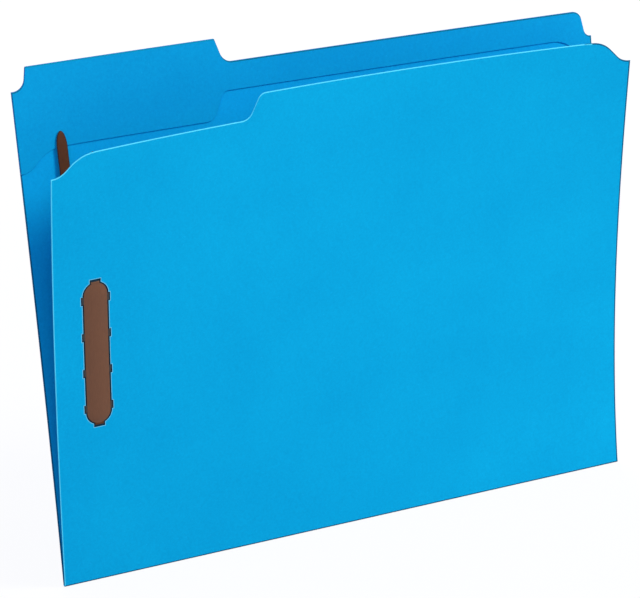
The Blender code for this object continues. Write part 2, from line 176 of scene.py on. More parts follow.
def closed_sheet(low, high, marks, crush=0.0, foot_plain=False):
    """A sheet between two layers of points on one grid, with a wall round its rim.

    The marks are those of the low layer, the high layer, the wall, and the wall where it faces right. A cut
    crushes the corners of the rim: each layer's rim steps in by crush along the outward normal of the rim,
    and the wall between starts crush below each face. A plain foot keeps its first row where it is.
    """
    rows, columns = low.shape[:2]
    points = np.stack([low, high]).reshape(-1, 3)
    index = np.arange(len(points)).reshape(2, rows, columns)
    sides = [index[:, :, 0], index[:, -1, 1:], index[:, -2::-1, -1], index[:, 0, -2:0:-1]]
    rim = np.concatenate(sides, axis=1)
    loop = points[rim]
    steps = unit(np.roll(loop, -1, axis=1) - loop)
    ahead = steps + np.roll(steps, 1, axis=1)
    outward = np.stack([ahead[..., 1], -ahead[..., 0], 0 * ahead[..., 0]], axis=-1)
    outward /= np.maximum(np.linalg.norm(outward, axis=-1, keepdims=True), WELD)
    if foot_plain:
        outward[..., 1] = np.maximum(outward[..., 1], 0)
    points[rim] = loop - crush * outward
    loop[0, :, 2] += crush
    loop[1, :, 2] -= crush
    wall = np.stack([rim[0], *(len(points) + np.arange(loop[..., 0].size).reshape(2, -1)), rim[1]])
    wall = quads(np.concatenate([wall, wall[:, :1]], axis=1))
    parts = [quads(index[0]), quads(index[1]), wall]
    points = np.concatenate([points, loop.reshape(-1, 3)])
    wall_marks = np.tile(np.where(outward[0, :, 0] > RIGHTWARD, marks[3], marks[2]), 3)
    kinds = [np.broadcast_to(mark, len(part)) for mark, part in zip((*marks[:2], wall_marks), parts)]
    return mesh_of(points, np.concatenate(parts), np.concatenate(kinds))


def block(low, high, mark):
    """A plain box between two corners, for cutting. Its mark goes to the walls of the cut."""
    x, v = np.meshgrid([low[0], high[0]], [low[1], high[1]], indexing="ij")
    layers = [np.dstack([x, v, np.full_like(x, w)]) for w in (low[2], high[2])]
    return closed_sheet(*layers, np.full(4, mark))


# %% Paths and strips
ARC_STEP = np.radians(7.5)
DECIMALS = 6
STEP_SLACK = 1e-6
MOST_ROUNDED = 0.95
# A strip's outline has twelve sides, and these two are its broad faces.
FACE_SIDES = (2, 8)
FLAT, EDGE = 0, 1


def rounded(corners):
    """A path through corners (a, b, radius): each becomes the arc of its radius that touches both sides."""
    corners = np.asarray(corners, float)
    places, radii = corners[:, :2], corners[:, 2]
    path = [places[:1]]
    for before, here, after, radius in zip(places, places[1:], places[2:], radii[1:]):
        back, ahead = unit(before - here), unit(after - here)
        half = np.arccos(np.clip(back @ ahead, -1, 1)) / 2
        centre = here + unit(back + ahead) * radius / np.sin(half)
        start = here + back * radius / np.tan(half) - centre
        sweep = np.sign(back[1] * ahead[0] - back[0] * ahead[1]) * (np.pi - 2 * half)
        turn = np.linspace(0, sweep, int(np.ceil(abs(sweep) / ARC_STEP)) + 1)[:, None]
        path.append(centre + np.cos(turn) * start + np.sin(turn) * np.array([-start[1], start[0]]))
    path.append(places[-1:])
    return np.concatenate(path)


def fill(stops, pitch):
    """The stops in order, with even steps no longer than the pitch between them."""
    stops = np.unique(np.round(stops, DECIMALS))
    counts = np.ceil(np.diff(stops) / pitch - STEP_SLACK).astype(int)
    runs = [np.linspace(a, b, n, endpoint=False) for a, b, n in zip(stops, stops[1:], counts)]
    return np.concatenate([*runs, stops[-1:]])


def fill_path(path, pitch):
    """The path with extra points, so that no step of it is longer than the pitch."""
    length = np.concatenate([[0], np.cumsum(np.linalg.norm(np.diff(path, axis=0), axis=1))])
    keep = np.concatenate([[True], np.diff(length) > WELD])
    at = fill(length[keep], pitch)
    return np.stack([np.interp(at, length[keep], column) for column in path[keep].T], axis=-1)


def strip(path, across, half_width, half_thick, edge, marks=(FLAT, EDGE)):
    """A rectangle with rounded corners carried along a path. The marks are those of its faces and edges.

    A corner point is the path's point + across * a + normal * b, where a and b are the half sizes less the
    edge's radii plus those radii times the cosine and sine of a turn from 0 to 360 degrees. The normal is
    square to the path.
    """
    steps = unit(np.diff(path, axis=0))
    ahead = np.concatenate([steps[:1], unit(steps[:-1] + steps[1:]), steps[-1:]])
    across = np.broadcast_to(across, path.shape)
    normal = unit(np.cross(ahead, across))
    halves = [np.broadcast_to(half, len(path))[:, None] for half in (half_width, half_thick)]
    edges = np.broadcast_to(edge, 2)
    radii = [np.minimum(radius, MOST_ROUNDED * half) for radius, half in zip(edges, halves)]
    quarter = np.radians(np.repeat([45, 135, 225, 315], 3))
    turn = quarter + np.radians(np.tile([-45, 0, 45], 4))
    a = np.sign(np.cos(quarter)) * (halves[0] - radii[0]) + radii[0] * np.cos(turn)
    b = np.sign(np.sin(quarter)) * (halves[1] - radii[1]) + radii[1] * np.sin(turn)
    points = path[:, None] + a[..., None] * across[:, None] + b[..., None] * normal[:, None]
    index = np.arange(a.size).reshape(a.shape)
    tube = quads(np.concatenate([index, index[:, :1]], axis=1))
    face_mark = np.broadcast_to(marks[0], len(path) - 1)[:, None]
    kinds = np.where(np.isin(np.arange(len(turn)), FACE_SIDES), face_mark, marks[1])
    return mesh_of(points, [*tube, index[0], index[-1]], [*kinds.ravel(), marks[1], marks[1]])


elbow = rounded([(0, 0, 0), (10, 0, 3), (10, 10, 0)])
print("an elbow of radius 3 has", len(elbow), "points")

# %% Cuts and finished pieces
MOST_MATERIALS = 5
SHARP = np.radians(35)


def carved(base, tools, operation):
    """The base mesh joined with, or cut by, the tool meshes: a Boolean whose result is kept as a mesh."""
    joined = bmesh.new()
    for tool in tools:
        joined.from_mesh(tool)
    tool_mesh = bpy.data.meshes.new("tools")
    joined.to_mesh(tool_mesh)
    joined.free()
    pair = [bpy.data.objects.new(word, mesh) for word, mesh in (("base", base), ("tools", tool_mesh))]
    for obj in pair:
        while len(obj.data.materials) < MOST_MATERIALS:
            obj.data.materials.append(None)
        bpy.context.scene.collection.objects.link(obj)
    modifier = pair[0].modifiers.new("cut", "BOOLEAN")
    modifier.operation = operation
    modifier.object = pair[1]
    ready = pair[0].evaluated_get(bpy.context.evaluated_depsgraph_get())
    result = bpy.data.meshes.new_from_object(ready)
    for obj in pair:
        bpy.data.objects.remove(obj)
    return result


def finish_piece(name, mesh, leaf, looks):
    """The object of a flat mesh: its points are carried onto the leaf and shaded smooth between edges.

    The flat places stay on the points as an attribute, so that a finish can still measure along the card.
    """
    if leaf:
        flat = np.empty(3 * len(mesh.vertices))
        mesh.vertices.foreach_get("co", flat)
        mesh.attributes.new("flat", "FLOAT_VECTOR", "POINT").data.foreach_set("vector", flat)
        mesh.vertices.foreach_set("co", on_leaf(leaf, flat.reshape(-1, 3)).ravel())
    turn_outwards(mesh)
    while len(mesh.materials) < len(looks):
        mesh.materials.append(None)
    for spot, look in enumerate(looks):
        mesh.materials[spot] = look
    mesh.shade_smooth()
    mesh.set_sharp_from_angle(angle=SHARP)
    mesh.name = name
    piece = bpy.data.objects.new(name, mesh)
    bpy.context.scene.collection.objects.link(piece)
    marks = np.empty(len(mesh.polygons), np.int32)
    mesh.polygons.foreach_get("material_index", marks)
    print(f"{name}: {len(mesh.vertices)} points, faces per material {np.bincount(marks).tolist()}")
    return piece


# %% [markdown]
# ## Shader sums in Python
# A finish is a small sum: so much cloudiness, so much fibre, less at an edge. Wiring each sum by hand hides
# it, so one class wraps a socket and turns Python's operators into Math nodes. Any other node comes from
# one method, which takes the node's type, then its settings, then the values or links of its sockets.

# %% Wires


class Wire:
    """An output socket of a node tree. Operators on wires add Math nodes and give new wires."""

    def __init__(self, tree, socket=None):
        self.tree = tree
        self.socket = socket

    def node(self, kind, settings=None, sockets=None, out=0):
        """A node of this kind: settings, then each socket's value or link. The wire is from its output."""
        made = self.tree.nodes.new(kind)
        for name, value in (settings or {}).items():
            setattr(made, name, value)
        for name, value in (sockets or {}).items():
            if isinstance(value, Wire):
                self.tree.links.new(value.socket, made.inputs[name])
            else:
                made.inputs[name].default_value = value
        return Wire(self.tree, made.outputs[out] if len(made.outputs) else None)

    def math(self, operation, first, second=0.0):
        """A Math node of this operation on two wires or numbers."""
        return self.node("ShaderNodeMath", {"operation": operation}, {0: first, 1: second})

    def __add__(self, other):
        return self.math("ADD", self, other)

    def __sub__(self, other):
        return self.math("SUBTRACT", self, other)

    def __rsub__(self, other):
        return self.math("SUBTRACT", other, self)

    def __mul__(self, other):
        return self.math("MULTIPLY", self, other)

    def __truediv__(self, other):
        return self.math("DIVIDE", self, other)

    def __abs__(self):
        return self.math("ABSOLUTE", self)

    __radd__ = __add__
    __rmul__ = __mul__

    def least(self, other):
        """The lesser of two values."""
        return self.math("MINIMUM", self, other)

    def most(self, other):
        """The greater of two values."""
        return self.math("MAXIMUM", self, other)

    def clamped(self):
        """The value held between 0 and 1."""
        return self.node("ShaderNodeClamp", {}, {"Value": self, "Min": 0.0, "Max": 1.0})

    def vector(self, operation, other):
        """Vector Math of this wire and another vector."""
        return self.node("ShaderNodeVectorMath", {"operation": operation}, {0: self, 1: other})

    def between(self, low, high):
        """The colour that runs from low to high as this wire goes from 0 to 1."""
        return self.node("ShaderNodeMix", {"data_type": "RGBA"}, {0: self, 6: low, 7: high}, 2)

    def noise(self, coordinates, scale, detail=2.0, roughness=0.5):
        """Smooth noise, about 0.5 on average, with scale bumps per metre."""
        values = {"Vector": coordinates, "Scale": scale, "Detail": detail, "Roughness": roughness}
        return self.node("ShaderNodeTexNoise", {}, values, "Fac")

    def stretched(self, coordinates, scale, turn=(0, 0, 0)):
        """Coordinates scaled by a different amount along each axis, then turned."""
        values = {"Vector": coordinates, "Rotation": turn, "Scale": scale}
        return self.node("ShaderNodeMapping", {}, values)


def new_finish(name):
    """An empty material, a wire in its tree to build on, and the wire of its Object coordinates."""
    finish = bpy.data.materials.new(name)
    finish.use_nodes = True
    finish.node_tree.nodes.clear()
    wire = Wire(finish.node_tree)
    return finish, wire, wire.node("ShaderNodeTexCoord", out="Object")


def surface(wire, values):
    """The Principled shader with these values, joined to the material's output."""
    shader = wire.node("ShaderNodeBsdfPrincipled", {}, values)
    wire.node("ShaderNodeOutputMaterial", {}, {"Surface": shader})


def shown(colour):
    """A colour as it shows on screen, 0 to 255, as the linear light that a shader takes: the sRGB curve."""
    share = np.asarray(colour, float) / 255
    linear = np.where(share <= 0.04045, share / 12.92, ((share + 0.055) / 1.055) ** 2.4)
    return (*(float(channel) for channel in linear), 1.0)


print("mid grey in linear light:", np.round(shown((128, 128, 128))[:3], 3))

# %% [markdown]
# ## Card
# Dyed card is matt and nearly even, but close up it is a felt of fibres: fine mottling, a few paler fibres
# and flecks that took less dye, and slow clouds where the sheet is a little thicker. Fibres lie along the
# sheet, as they do in machine-made card. An image texture would give that in one step; noise at several
# scales gives it at any distance and needs no file. There is almost no gloss, so the specular level is low.
# The outside's finish also draws a pale band round the fastener's window, its notches and slots, so it
# measures how far a place is from the window's outline, in the flat places that each leaf keeps as an
# attribute.

# %% Window's rim
FASTENER_X = 20.8 * MM - HALF_WIDTH
FASTENER_HEIGHT = 113.2 * MM
POCKET_HALF = 6.4 * MM
POCKET_STRAIGHT = 28.7 * MM
TOOTH_PITCH = 17.8 * MM
NOTCH_REACH, NOTCH_HALF = 7.15 * MM, 2.0 * MM
SLOT_REACH, SLOT_HALF = 36.325 * MM, 2.7 * MM
RIM_WIDTH = 0.35 * MM


def window_rim(wire):
    """1 on a band round the window, its notches and slots: each has a distance, and the least one counts.

    The window's is sqrt(across² + past its straight part²) less its half width; a notch's or a slot's is
    the greater of its two overhangs. The band is 2 - 2 |distance - band's middle| / half band.
    """
    flat = wire.node("ShaderNodeAttribute", {"attribute_name": "flat"}, out="Vector")
    place = flat.vector("SUBTRACT", (FASTENER_X, FASTENER_HEIGHT, 0))
    across, along = (abs(wire.node("ShaderNodeSeparateXYZ", {}, {0: place}, axis)) for axis in "XY")
    past = (along - POCKET_STRAIGHT).most(0)
    window = wire.math("SQRT", across * across + past * past) - POCKET_HALF
    notch = (across - NOTCH_REACH).most(abs(abs(along - TOOTH_PITCH) - TOOTH_PITCH / 2) - NOTCH_HALF)
    slot = (across - SLOT_HALF).most(along - SLOT_REACH)
    distance = window.least(notch).least(slot)
    return (2 - abs(distance - RIM_WIDTH / 2) / (RIM_WIDTH / 2) * 2).clamped()


print(f"window {2 * POCKET_HALF / MM:.1f} mm wide, with a pale rim of {RIM_WIDTH / MM:.2f} mm")

# %% Card faces
OUTSIDE_BLUE = (2, 167, 212)
INSIDE_BLUE = (2, 162, 217)
PLY_BLUE = (2, 155, 205)
# The crease's two blues, darker than the card, are partly the pressed crease and partly painted shade.
CREASE_SHADE_BLUE = (4, 88, 124)
CREASE_INSIDE_SHADE = (2, 138, 188)
# The pocket's dark blue, on the walls and floors of the pocket, notches and slits, is painted shade.
POCKET_SHADE_BLUE = (20, 56, 72)
FIBRE_BLUE = (46, 194, 240)
RIM_BLUE = (116, 196, 218)
DEEP_SHARES = (0.5, 0.91, 0.945)
LIGHT_SHARES, LIGHT_LIFT = (1, 1.08, 1.045), (6, 0, 0)
# Bumps per metre of each noise. A fibre is about ten times as long as it is thick.
CLOUDS, MOTTLING, FLECKS = 22.0, 900.0, 260.0
FIBRE_STRETCH = (240, 240, 2600)


def dye(tone, blue):
    """The card's colour as the tone goes from 0 to 1: a deeper blue to a lighter one."""
    deep = np.array(blue) * DEEP_SHARES
    light = np.minimum(np.array(blue) * LIGHT_SHARES + LIGHT_LIFT, 255)
    return tone.between(shown(deep), shown(light))


def fibres(wire, place, turn, level):
    """1 along level threads: 9 times what a stretched noise has above a level. A turn picks other ones."""
    threads = wire.noise(wire.stretched(place, FIBRE_STRETCH, (0, turn, 0)), 1.0, 2.0)
    return ((threads - level) * 9).clamped()


def card_finish(name, blue, window=False):
    """Card: colour, roughness and bump from clouds, mottling and fibres, with a window's pale rim or not."""
    finish, wire, place = new_finish(name)
    clouds = wire.noise(place, CLOUDS, 3.0)
    mottle = wire.noise(place, MOTTLING, 4.0, 0.65)
    fibre = fibres(wire, place, 0.5, 0.68) + fibres(wire, place, -0.7, 0.68) + fibres(wire, place, 1.6, 0.7)
    cells = wire.node("ShaderNodeTexVoronoi", {}, {"Vector": place, "Scale": FLECKS}, "Distance")
    flecks = ((0.11 - cells) * 14).clamped()
    tone = (0.5 + (clouds - 0.5) * 0.5 + (mottle - 0.5) * 1.1).clamped()
    colour = (fibre * 0.12 + flecks * 0.2).clamped().between(dye(tone, blue), shown(FIBRE_BLUE))
    if window:
        colour = window_rim(wire).between(colour, shown(RIM_BLUE))
    relief = {"Strength": 0.35, "Distance": 0.02 * MM, "Height": mottle * 0.7 + fibre * 0.3}
    surface(wire, {
        "Base Color": colour,
        "Roughness": 0.72 + (mottle - 0.5) * 0.25,
        "Specular IOR Level": 0.04,
        "Normal": wire.node("ShaderNodeBump", {}, relief),
    })
    return finish


card_outside = card_finish("card_outside_blue", OUTSIDE_BLUE, True)
card_inside = card_finish("card_inside_blue", INSIDE_BLUE)
card_ply = card_finish("card_ply_blue", PLY_BLUE)
card_fold_shade = card_finish("card_fold_shade_blue", CREASE_SHADE_BLUE)
fold_inside_shade = card_finish("card_fold_inside_shade_blue", CREASE_INSIDE_SHADE)
pocket_shade = card_finish("card_pocket_shade_blue", POCKET_SHADE_BLUE)
card_faces = (card_outside, card_inside, card_ply, card_fold_shade, fold_inside_shade, pocket_shade)
print("card faces:", [finish.name for finish in card_faces])

# %% [markdown]
# ## Cut edges of card
# A blade crushes the card as it cuts, and the layers of fibre show. On the front leaf the cut is pale where
# it faces left or up, that pale fibre with a painted highlight, and dark where it faces right, partly
# painted shade; the back leaf's is dark all round, partly painted shade, and the second ply has edges of its
# own. Light alone doesn't give such thin lines at this distance, so each kind of edge is a grainy finish of
# its own, which a narrow band of faces along the rim takes.

# %% Card edges
# The pale cut is paler fibre with a painted highlight; the dark edge colours are partly painted shade.
PALE_CORE_HIGHLIGHT = (94, 232, 252)
EDGE_SHADE = (8, 104, 138)
# The ply's cut wall and its ring along the shelf are darker blues, partly painted shade.
PLY_CUT_SHADE = (2, 124, 210)
SHELF_EDGE_SHADE = (10, 124, 146)
TAB_EDGE = (10, 154, 184)
GRAIN, PATCHES = 1800.0, 90.0


def cut_edge_finish(name, colour):
    """The cut edge of card: a tone of fine grain and broader patches, from nine tenths of the colour up."""
    finish, wire, place = new_finish(name)
    grain = wire.noise(place, GRAIN, 3.0, 0.7)
    patches = wire.noise(place, PATCHES, 2.0)
    tone = (0.5 + (grain - 0.5) * 0.9 + (patches - 0.5) * 0.6).clamped()
    deep = shown([0.9 * channel for channel in colour])
    surface(wire, {
        "Base Color": tone.between(deep, shown(colour)),
        "Roughness": 0.8 + (grain - 0.5) * 0.2,
        "Specular IOR Level": 0.05,
    })
    return finish


cut_edge_highlight = cut_edge_finish("card_cut_edge_highlight", PALE_CORE_HIGHLIGHT)
edge_shade = cut_edge_finish("card_edge_shade", EDGE_SHADE)
ply_cut_shade = cut_edge_finish("card_ply_cut_shade", PLY_CUT_SHADE)
shelf_edge_shade = cut_edge_finish("card_shelf_edge_shade", SHELF_EDGE_SHADE)
tab_edge = cut_edge_finish("card_tab_edge", TAB_EDGE)
print("card edges:", [finish.name for finish in (cut_edge_highlight, edge_shade, ply_cut_shade, shelf_edge_shade, tab_edge)])

# %% [markdown]
# ## Fastener lacquer
# The fasteners are stamped from thin steel and lacquered brown before stamping, so the lacquer is thin, has
# faint streaks along the strip and is nearly even in colour. Paint over metal is a dielectric: its colour
# comes from the base, and its gloss from a specular layer that the streaks break up a little.

# %% Lacquer finish
# The prongs' brown is darker than the plate's, partly painted shade.
PLATE_BROWN, PRONG_BROWN_AND_SHADE = (108, 71, 48), (86, 50, 27)
# Dark edge lacquer and grey plate rim: partly bare edges, partly painted shade, also in slots and notches.
STRIP_DARK_AND_SHADE, PLATE_RIM_AND_SHADE = (46, 37, 32), (62, 58, 54)
STREAK_STRETCH = (2400, 2400, 70)
SCUFFS = 260.0


def lacquer_finish(name, brown, specular):
    """Brown lacquer: streaks are noise stretched along the strip, scuffs are the peaks of a second noise."""
    finish, wire, place = new_finish(name)
    streaks = wire.noise(wire.stretched(place, STREAK_STRETCH), 1.0, 3.0, 0.6)
    scuffs = ((wire.noise(place, SCUFFS, 4.0, 0.65) - 0.62) * 6).clamped()
    tone = (0.5 + (streaks - 0.5) * 1.1).clamped()
    deep, light, worn = (shown([share * channel for channel in brown]) for share in (0.9, 1.1, 1.25))
    relief = {"Strength": 0.2, "Distance": 0.01 * MM, "Height": streaks}
    surface(wire, {
        "Base Color": (scuffs * 0.25).between(tone.between(deep, light), worn),
        "Roughness": 0.42 + (streaks - 0.5) * 0.2 + scuffs * 0.12,
        "Specular IOR Level": specular,
        "Normal": wire.node("ShaderNodeBump", {}, relief),
    })
    return finish


lacquer = lacquer_finish("fastener_brown", PLATE_BROWN, 0.2)
prong_lacquer_and_shade = lacquer_finish("prong_brown_and_shade", PRONG_BROWN_AND_SHADE, 0.12)
strip_edge_and_shade = lacquer_finish("strip_edge_and_shade_dark", STRIP_DARK_AND_SHADE, 0.15)
plate_edge_and_shade = lacquer_finish("plate_edge_and_shade_grey", PLATE_RIM_AND_SHADE, 0.15)
print("lacquers:", [finish.name for finish in (lacquer, prong_lacquer_and_shade, strip_edge_and_shade, plate_edge_and_shade)])

# %% [markdown]
# ## Edges of the leaves
# The front leaf is cut low under the tab and steps up to the right of it; both its ends fall in an S to the
# sides. The back leaf has the tab, and its second ply ends below in the same stepped line as the front
# leaf. Each edge is a path of straight runs and arcs from left to right. It never turns back, so its height
# is a function of x.

# %% Stepped edges
# A start is measured from the sheet's side. A round is the radius at a slope's top, a fillet at its foot.
LEFT_START, LEFT_SPREAD, LEFT_ROUND, LEFT_FILLET = 4.5 * MM, 10.1 * MM, 19.0 * MM, 10.0 * MM
STEP_SPREAD, STEP_ROUND, STEP_FILLET = 5.9 * MM, 4.0 * MM, 6.0 * MM
RIGHT_START, RIGHT_SPREAD, RIGHT_ROUND, RIGHT_FILLET = 4.3 * MM, 10.9 * MM, 14.0 * MM, 9.0 * MM
RIGHT_DROP = 10.9 * MM


def stepped_edge(high, step_height, step_start, left_drop):
    """An edge that runs low to step_start, steps up to high and drops at both ends."""
    low, step = high - step_height, step_start - HALF_WIDTH
    left, right = LEFT_START - HALF_WIDTH, HALF_WIDTH - RIGHT_START
    left_low, right_low = low - left_drop, high - RIGHT_DROP
    return rounded([
        (-HALF_WIDTH, left_low, 0),
        (left, left_low, LEFT_FILLET),
        (left + LEFT_SPREAD, low, LEFT_ROUND),
        (step, low, STEP_FILLET),
        (step + STEP_SPREAD, high, STEP_ROUND),
        (right - RIGHT_SPREAD, high, RIGHT_ROUND),
        (right, right_low, RIGHT_FILLET),
        (HALF_WIDTH, right_low, 0),
    ])


front_edge = stepped_edge(FRONT_TOP, step_height=11.8 * MM, step_start=98.9 * MM, left_drop=8.9 * MM)
ply_edge = stepped_edge(PLY_EDGE, step_height=13.1 * MM, step_start=97.0 * MM, left_drop=9.9 * MM)
for word, edge in (("front", front_edge), ("ply", ply_edge)):
    print(f"{word} edge from {edge[:, 1].min() / MM:.1f} to {edge[:, 1].max() / MM:.1f} mm")

# %% Tab's edge
TAB_START, TAB_STOP, TAB_CORNER = 7.7 * MM, 100.6 * MM, 0.6 * MM
TAB_DROP, TAB_LEFT_SPREAD, TAB_LEFT_FILLET = 10.4 * MM, 1.8 * MM, 5.9 * MM
TAB_RIGHT_SPREAD, TAB_RIGHT_FILLET = 3.7 * MM, 6.0 * MM
END_START, END_DROP, END_SPREAD, END_ROUND, END_FILLET = 5.7 * MM, 12.6 * MM, 2.5 * MM, 4.7 * MM, 3.6 * MM

tab_left, tab_right = TAB_START - HALF_WIDTH, TAB_STOP - HALF_WIDTH
tab_foot, end_top, end_low = TAB_TOP - TAB_DROP, HALF_WIDTH - END_START, SHELF - END_DROP
back_edge = rounded([
    (-HALF_WIDTH, tab_foot, 0),
    (tab_left - TAB_LEFT_SPREAD, tab_foot, TAB_LEFT_FILLET),
    (tab_left, TAB_TOP, TAB_CORNER),
    (tab_right, TAB_TOP, TAB_CORNER),
    (tab_right + TAB_RIGHT_SPREAD, SHELF, TAB_RIGHT_FILLET),
    (end_top, SHELF, END_ROUND),
    (end_top + END_SPREAD, end_low, END_FILLET),
    (HALF_WIDTH, end_low, 0),
])
print(f"tab from {tab_left / MM:.1f} to {tab_right / MM:.1f} mm across, {TAB_TOP / MM:.1f} mm high")

# %% [markdown]
# ## Leaves
# A leaf is a grid: its columns stand at chosen x and its rows are level up to a height below the top edge,
# then stretch up to meet that edge. Its outermost ring is narrow, for the colour of the cut edge with its
# painted highlight and painted shade. The fastener's bed is pressed inwards as a raised pad with a pocket
# outside. Notches are pressed in from outside for the teeth and the prongs' roots, and slits go through, a
# hair smaller than the metal, so that no light shows beside it. The walls and floors of the pocket, the
# notches and the slits take a dark blue, painted shade. Booleans on the flat sheet keep those edges crisp.
# The columns and rows are closer together near the fastener, so that the cut faces stay small when they are
# carried onto the bow.

# %% Sheet grids
LEVEL_TOP, TOP_ROWS = 185 * MM, 14
COARSE, FINE = 4 * MM, 2 * MM
NEAR_COLUMNS, NEAR_HEIGHT = 13, 44 * MM
CRUSH = 0.12 * MM
PALE_RING, DARK_RING, RIGHT_RING = 0.38 * MM, 0.7 * MM, 0.8 * MM


def ring_marks(x, v, plain, bright, dark):
    """Each face's mark: plain, but bright along the left and the top, a painted highlight, and dark where the
    rim faces right, partly painted shade.

    The top faces right where it falls, and so does the whole band within RIGHT_RING of the right side.
    """
    marks = np.full((x.shape[0] - 1, x.shape[1] - 1), plain)
    falls = np.diff(v[:, -1]) < -RIGHTWARD * np.diff(x[:, 0])
    marks[:, -1] = np.where(falls, dark, bright)
    marks[0] = np.ravel(bright)[0]
    marks[(x[:-1, 0] + x[1:, 0]) / 2 > HALF_WIDTH - RIGHT_RING] = dark
    return marks.ravel()


def layered(x, v, low, high, marks, foot_plain=False):
    """A flat sheet of card over the grid x, v between two heights, with its cut rim crushed."""
    layers = [np.dstack([x, v, np.full_like(x, w)]) for w in (low, high)]
    return closed_sheet(*layers, marks, CRUSH, foot_plain)


def leaf_grid(edge, ring):
    """x and v of a leaf: level rows up to LEVEL_TOP, then LEVEL_TOP + share * (ring's foot - LEVEL_TOP)."""
    near = FASTENER_X + np.arange(-NEAR_COLUMNS, NEAR_COLUMNS + 1) * MM
    sides = [ring - HALF_WIDTH, HALF_WIDTH - RIGHT_RING]
    columns = fill(np.concatenate([edge[:, 0], near, sides]), COARSE)
    low, high = FASTENER_HEIGHT - NEAR_HEIGHT, FASTENER_HEIGHT + NEAR_HEIGHT
    spans = (([CREASE_GAP, low], COARSE), ([low, high], FINE), ([high, LEVEL_TOP], COARSE))
    level = np.unique(np.round(np.concatenate([fill(*span) for span in spans]), DECIMALS))
    level = np.broadcast_to(level, (len(columns), len(level)))
    share = np.arange(1, TOP_ROWS + 1) / TOP_ROWS
    top = np.interp(columns, edge[:, 0], edge[:, 1])
    inset = np.where(np.gradient(top, columns) < -RIGHTWARD, DARK_RING, ring)[:, None]
    top = top[:, None]
    v = np.hstack([level, LEVEL_TOP + share * (top - inset - LEVEL_TOP), top])
    return np.broadcast_to(columns[:, None], v.shape), v


print("the front leaf has", leaf_grid(front_edge, PALE_RING)[1].shape, "columns and rows")

# %% Fastener's bed
EMBOSS = 0.5 * MM
PAD_TOP = HALF_CARD + EMBOSS
PAD_HALF, PAD_ROUND = 6.7 * MM, 0.2 * MM
CRISP = 0.01 * MM
REACH = 2 * MM
THROUGH = PAD_TOP + REACH
NOTCH_TOP = HALF_CARD - 0.06 * MM
BITE = 0.05 * MM
METAL = 0.4 * MM
SEAT_GAP = 0.3 * MM
TOOTH_NEAR, TOOTH_LENGTH = 6.45 * MM, 3.4 * MM
TOOTH_FAR = TOOTH_NEAR + METAL
PRONG_SPACING, PRONG_WIDTH = 69.85 * MM, 4.8 * MM
# How far the upper and the lower prong's root stands out past its own line, outside the card.
TONGUES = {1: 0.15 * MM, -1: 0.55 * MM}
END_TURN, LONG_STEP = 4, 2.5 * MM
teeth = [(TOOTH_PITCH * (k - 1.5), side) for k in range(4) for side in (-1, 1)]


def at_fastener(across, along, w):
    """Flat points at these places across and along from the fastener's middle, at the height w."""
    return np.stack(np.broadcast_arrays(FASTENER_X + across, FASTENER_HEIGHT + along, w), axis=-1)


def round_ended(straight, radius, turn, corner_free, low, high, edge, marks):
    """A strip up the fastener's middle: its half width is corner_free + sqrt(radius² - past²).

    Past is how far a place is beyond the straight part; the ends are in steps of turn degrees.
    """
    end = straight + radius * np.sin(np.radians(np.arange(0, 90, turn)))
    along = np.concatenate([-end[::-1], fill([-straight, straight], LONG_STEP)[1:-1], end])
    past = np.maximum(np.abs(along) - straight, 0)
    half = corner_free + np.sqrt(radius**2 - past**2)
    return strip(at_fastener(0, along, (low + high) / 2), (1, 0, 0), half, (high - low) / 2, edge, marks)


def racetrack(radius, low, high, edge, marks):
    """A strip with half-round ends, as long as the window: its half width is sqrt(radius² - past²)."""
    return round_ended(POCKET_STRAIGHT, radius, END_TURN, 0, low, high, edge, marks)


def slit(across, along, top, mark):
    """A block that cuts into the fastener's place from outside up to a height; spans are from its middle."""
    low = (FASTENER_X + min(across), FASTENER_HEIGHT + min(along), -HALF_CARD - REACH)
    return block(low, (FASTENER_X + max(across), FASTENER_HEIGHT + max(along), top), mark)


print(f"{len(teeth)} teeth, {TOOTH_PITCH / MM:.1f} mm apart, and prongs {PRONG_SPACING / MM:.2f} mm apart")

# %% Leaf mesh
# The marks of a leaf's faces, in the order of leaf_looks.
OUTSIDE, PALE, POCKET, INSIDE, DARK = range(MOST_MATERIALS)
leaf_looks = (card_outside, cut_edge_highlight, pocket_shade, card_inside, edge_shade)


def bed_cuts():
    """Blocks for one fastener: notches from outside up to NOTCH_TOP, and slits that pinch by BITE or more."""
    both = np.array([-1, 1])
    notches, slits = [], []
    for along, side in teeth:
        wide, tight = both * NOTCH_HALF, both * (TOOTH_LENGTH / 2 - BITE)
        pressed = (side * (TOOTH_NEAR - SEAT_GAP), side * NOTCH_REACH)
        cut = (side * (TOOTH_NEAR - 2 * BITE), side * (TOOTH_FAR - BITE))
        notches.append(slit(pressed, along + wide, NOTCH_TOP, POCKET))
        slits.append(slit(cut, along + tight, THROUGH, POCKET))
    root, half = PRONG_SPACING / 2, PRONG_WIDTH / 2 - 3 * BITE
    for end in (-1, 1):
        pressed = (end * (2 * root - SLOT_REACH), end * SLOT_REACH)
        cut = (end * (root - METAL), end * (root + TONGUES[end] + 2 * BITE))
        notches.append(slit((-SLOT_HALF, SLOT_HALF), pressed, NOTCH_TOP, POCKET))
        slits.append(slit((-half, half), cut, THROUGH, POCKET))
    return notches, slits


